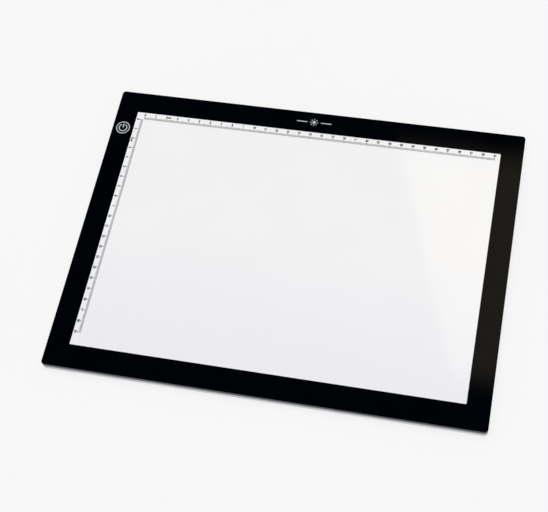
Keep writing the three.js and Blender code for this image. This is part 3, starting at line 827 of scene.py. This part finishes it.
def sun_mark():
    """A plain sun between two bars, printed on the middle of the back border."""
    centre = Vector((SUN_PLACE[0], window_reach.y + SUN_PLACE[1]))

    def spoke(direction, ends, width):
        return bar_outline(*[centre + reach * direction for reach in ends], width)

    silver_print("sun_mark_disc", disc_outline(centre, SUN_RADIUS))
    angles = [2 * math.pi * ray / SUN_RAYS for ray in range(SUN_RAYS)]
    directions = [Vector((math.cos(angle), math.sin(angle))) for angle in angles]
    rays = [spoke(direction, SUN_RAY_ENDS, SUN_RAY_WIDTH) for direction in directions]
    silver_print("sun_mark_rays", *rays)
    for name, way in (("left", -1), ("right", 1)):
        silver_print("sun_mark_bar_" + name, spoke(Vector((way, 0)), SUN_BAR_ENDS, SUN_BAR_WIDTH))


def socket_contacts(metal):
    """Five gold strips under the socket's tongue, where the plug's own contacts touch."""
    pitch = 0.65 * MM
    half_width = 0.15 * MM
    outer_end = tongue_low.x + 0.25 * MM
    inner_end = tongue_low.x + 3.0 * MM
    tongue_bottom = tongue_high.z - 0.5 * MM
    middle = (tongue_low.y + tongue_high.y) / 2
    strips = bmesh.new()
    for contact in range(5):
        y = middle + (contact - 2) * pitch
        outline = [
            (outer_end, y - half_width),
            (inner_end, y - half_width),
            (inner_end, y + half_width),
            (outer_end, y + half_width),
        ]
        add_prism(strips, outline, tongue_bottom - 0.09 * MM, tongue_bottom - 0.01 * MM)
    finished_piece("socket_contacts", strips, metal)


# ---- Studio ----------------------------------------------------------------------------------------

CAMERA_AZIMUTH = math.radians(21.25)
CAMERA_ELEVATION = math.radians(61.635)
CAMERA_ROLL = math.radians(-11.216)
CAMERA_DISTANCE = 1.0327
CAMERA_LENS = 81.77
AIM = Vector((-0.01145, -0.0103, INK_BOTTOM))


def view_direction():
    flat = math.cos(CAMERA_ELEVATION)
    return Vector((
        -math.sin(CAMERA_AZIMUTH) * flat,
        math.cos(CAMERA_AZIMUTH) * flat,
        -math.sin(CAMERA_ELEVATION),
    ))


def mirrored(x, y):
    """The direction into the room that the camera sees mirrored at a point on the pad."""
    ray = (Vector((x, y, AIM.z)) - (AIM - CAMERA_DISTANCE * view_direction())).normalized()
    return Vector((ray.x, ray.y, -ray.z))


def add_camera():
    data = bpy.data.cameras.new("camera")
    data.sensor_width = 36
    data.lens = CAMERA_LENS
    data.clip_start = 0.05
    data.clip_end = 50
    camera = bpy.data.objects.new("camera", data)
    forward = view_direction()
    camera.location = AIM - CAMERA_DISTANCE * forward
    camera.rotation_mode = "QUATERNION"
    level = forward.to_track_quat("-Z", "Y")
    camera.rotation_quaternion = level @ Quaternion((0, 0, 1), CAMERA_ROLL)
    bpy.context.scene.collection.objects.link(camera)
    bpy.context.scene.camera = camera


# The pale sweep: most of its light comes through it from below, so that shadows on it stay faint.
FLOOR_DROP = 0.01 * MM
FLOOR_REACH = 8
FLOOR_GLOW = 0.68
FLOOR_TONE_LOW = (0.222, 0.222, 0.222, 1)
FLOOR_TONE_HIGH = (0.228, 0.228, 0.228, 1)

SKY_LEVEL = (1.11, 1.11, 1.11, 1)
# The room that mirrors see is brighter low down than high up. Heights are parts of a unit direction.
ROOM_HEIGHTS = (0.05, 0.55)
ROOM_LEVELS = (0.7, 0.05)
# What the black border mirrors: a black flag over the pad and a grey card beside it.
FLAG_OUTSIDE = math.radians(34)
FLAG_INSIDE = math.radians(24)
FLAG_LEVEL = (0.004, 0.006, 0.009, 1)
CARD_LEVEL = (0.41, 0.345, 0.24, 1)
# Where the card's straight edges are mirrored on the pad, as two points of each line.
CARD_SIDE = ((0.0874, 0.0763), (0.1405, -0.074))
CARD_BACK = ((0.08, 0.113), (0.18, 0.113))
CARD_FRONT = ((0.08, -0.093), (0.18, -0.093))
CARD_MIDDLE = (0.16, 0.0)
SHARP_EDGE = 0.0015
SOFT_EDGE = 0.015


def add_floor():
    """A wide pale sweep that the pad lies on. From below it is clear, so that the underside shows."""
    mesh = bmesh.new()
    corners = [(-FLOOR_REACH, -FLOOR_REACH), (FLOOR_REACH, -FLOOR_REACH)]
    corners += [(FLOOR_REACH, FLOOR_REACH), (-FLOOR_REACH, FLOOR_REACH)]
    mesh.faces.new([mesh.verts.new((x, y, -FLOOR_DROP)) for x, y in corners])
    finish = Finish("studio_floor")
    drift = finish.noise(400 * MM, 2)
    finish.colour(finish.mix(finish.span(drift, 0.3, 0.7), FLOOR_TONE_LOW, FLOOR_TONE_HIGH))
    finish.roughness(finish.span(drift, 0.3, 0.7, 0.85, 0.95))
    finish.set(specular_ior_level=0.0, emission_color=(1, 1, 1, 1), emission_strength=FLOOR_GLOW)
    from_below = finish.facing.outputs["Backfacing"]
    finish.blend(from_below, finish.shader, finish.node("ShaderNodeBsdfTransparent"))
    data = bpy.data.meshes.new("floor")
    mesh.to_mesh(data)
    mesh.free()
    data.materials.append(finish.material)
    floor = bpy.data.objects.new("floor", data)
    bpy.context.scene.collection.objects.link(floor)


def add_world():
    """Even white light all round. What shines mirrors a darker room, with a black flag over the pad
    and a grey card beside it, so that the black border stays black."""
    world = bpy.data.worlds.new("studio")
    world.use_nodes = True
    bpy.context.scene.world = world
    nodes = Nodes(world.node_tree)
    direction = nodes.node("ShaderNodeTexCoord").outputs["Generated"]

    def beyond(line, softness):
        """1 on the card's side of one of its edges, 0 on the other."""
        normal = mirrored(*line[0]).cross(mirrored(*line[1])).normalized()
        if normal.dot(mirrored(*CARD_MIDDLE)) < 0:
            normal = -normal
        return nodes.span(nodes.dot(direction, normal), -softness, softness, smooth=True)

    forward = view_direction()
    overhead = Vector((forward.x, forward.y, -forward.z))
    room = nodes.span(nodes.dot(direction, (0, 0, 1)), *ROOM_HEIGHTS, *ROOM_LEVELS, smooth=True)
    flag_edges = (math.cos(FLAG_OUTSIDE), math.cos(FLAG_INSIDE))
    in_flag = nodes.span(nodes.dot(direction, overhead), *flag_edges, smooth=True)
    lengthwise = nodes.math("MULTIPLY", beyond(CARD_BACK, SOFT_EDGE), beyond(CARD_FRONT, SOFT_EDGE))
    on_card = nodes.math("MULTIPLY", beyond(CARD_SIDE, SHARP_EDGE), lengthwise)
    mirrored_room = nodes.mix(in_flag, room, nodes.mix(on_card, FLAG_LEVEL, CARD_LEVEL))
    shining = nodes.node("ShaderNodeLightPath").outputs["Is Glossy Ray"]
    light = nodes.mix(shining, SKY_LEVEL, mirrored_room)
    nodes.link(light, nodes.tree.nodes["Background"].inputs["Color"])


def add_soft_lamp():
    """One large soft lamp above and behind the pad, which mirrors do not show."""
    data = bpy.data.lights.new("soft_lamp", "AREA")
    data.shape = "RECTANGLE"
    data.size = 1.6
    data.size_y = 1.2
    data.energy = 1
    lamp = bpy.data.objects.new("soft_lamp", data)
    lamp.location = (0.5, 0.9, 1.6)
    lamp.rotation_mode = "QUATERNION"
    lamp.rotation_quaternion = (-lamp.location).to_track_quat("-Z", "Y")
    lamp.visible_glossy = False
    lamp.visible_camera = False
    bpy.context.scene.collection.objects.link(lamp)


def let_light_in(*names):
    """Keeps what lies over the diffuser from shading it, as the acrylic spreads light in under it."""
    for name in names:
        over = frame["nodes"].get(name) or bpy.data.objects[name]
        over.visible_shadow = False
        over.visible_diffuse = False
        over.visible_glossy = False


# ---- Build -----------------------------------------------------------------------------------------

add_camera()

silver = silver_ink()
plated_wire = spring_steel()
dress_nodes(frame["nodes"], {
    "cover_film": clear_film(),
    "front_panel": clear_acrylic(),
    "bezel_mask": border_ink(),
    "side_frame": silver_plastic(),
    "rear_cover": pale_plastic(),
    "foot": foot_rubber(),
    "cover_screw": screw_steel(),
    "board_screw": screw_steel(),
    "diffuser_sheet": opal_sheet(),
    "prism_film": prism_film(),
    "light_guide": guide_acrylic(),
    "reflector_sheet": white_film(),
    "led_strip": lamp_strip(),
    "heat_strip": brushed_aluminium(),
    "cushion": dark_foam(),
    "tape": black_tape(),
    "control_board": green_circuit(),
    "touch_spring": plated_wire,
    "touch_chip": chip_surface("touch_chip", 1.95 * MM),
    "driver_chip": chip_surface("driver_chip", 0.8 * MM),
    "power_inductor": ferrite(),
    "filter_capacitor": capacitor_ceramic(),
    "socket_shell": tin_plate(),
    "socket_tongue": dark_moulding(),
    "wire_connector": white_nylon(),
    "lead_wire_black": wire_cover("black_wire_cover", paint(20, 20, 22), paint(34, 34, 36)),
    "lead_wire_red": wire_cover("red_wire_cover", paint(150, 22, 20), paint(184, 34, 28)),
})

rulers()
power_mark()
sun_mark()
socket_contacts(plated_wire)

let_light_in(
    "cover_film", "bezel_mask", "front_panel",
    "back_ruler_scale", "back_ruler_numerals", "left_ruler_scale", "left_ruler_numerals",
)

add_floor()
add_world()
add_soft_lamp()
bpy.context.scene.view_settings.view_transform = "Standard"
